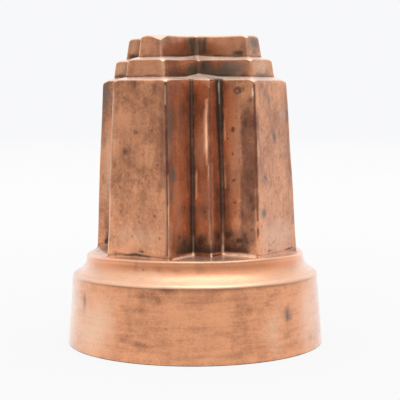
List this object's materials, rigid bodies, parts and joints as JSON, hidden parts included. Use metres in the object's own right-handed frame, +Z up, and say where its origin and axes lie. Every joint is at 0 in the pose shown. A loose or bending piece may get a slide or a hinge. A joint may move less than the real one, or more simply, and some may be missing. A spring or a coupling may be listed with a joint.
{
  "type": "copper jelly mould",
  "caption": "Open copper shell: a flared round rim and a hollow shoulder under a tall tapered cross with ridges between its arms and stepped smaller crosses on top.",
  "frame": {"origin": "centre of the rim's open edge, on the surface that the mould stands on", "axes": "+Z up along the mould's axis, +X and +Y along the arms of the cross; the crushed corner is at the end of the -Y arm"},
  "size_m": [0.13, 0.13, 0.1548],
  "materials": {
    "copper": "aged polished copper outside with brown and grey stains, tinned inside"
  },
  "bodies": {
    "root": {"mould": "copper"}
  },
  "joints": []
}
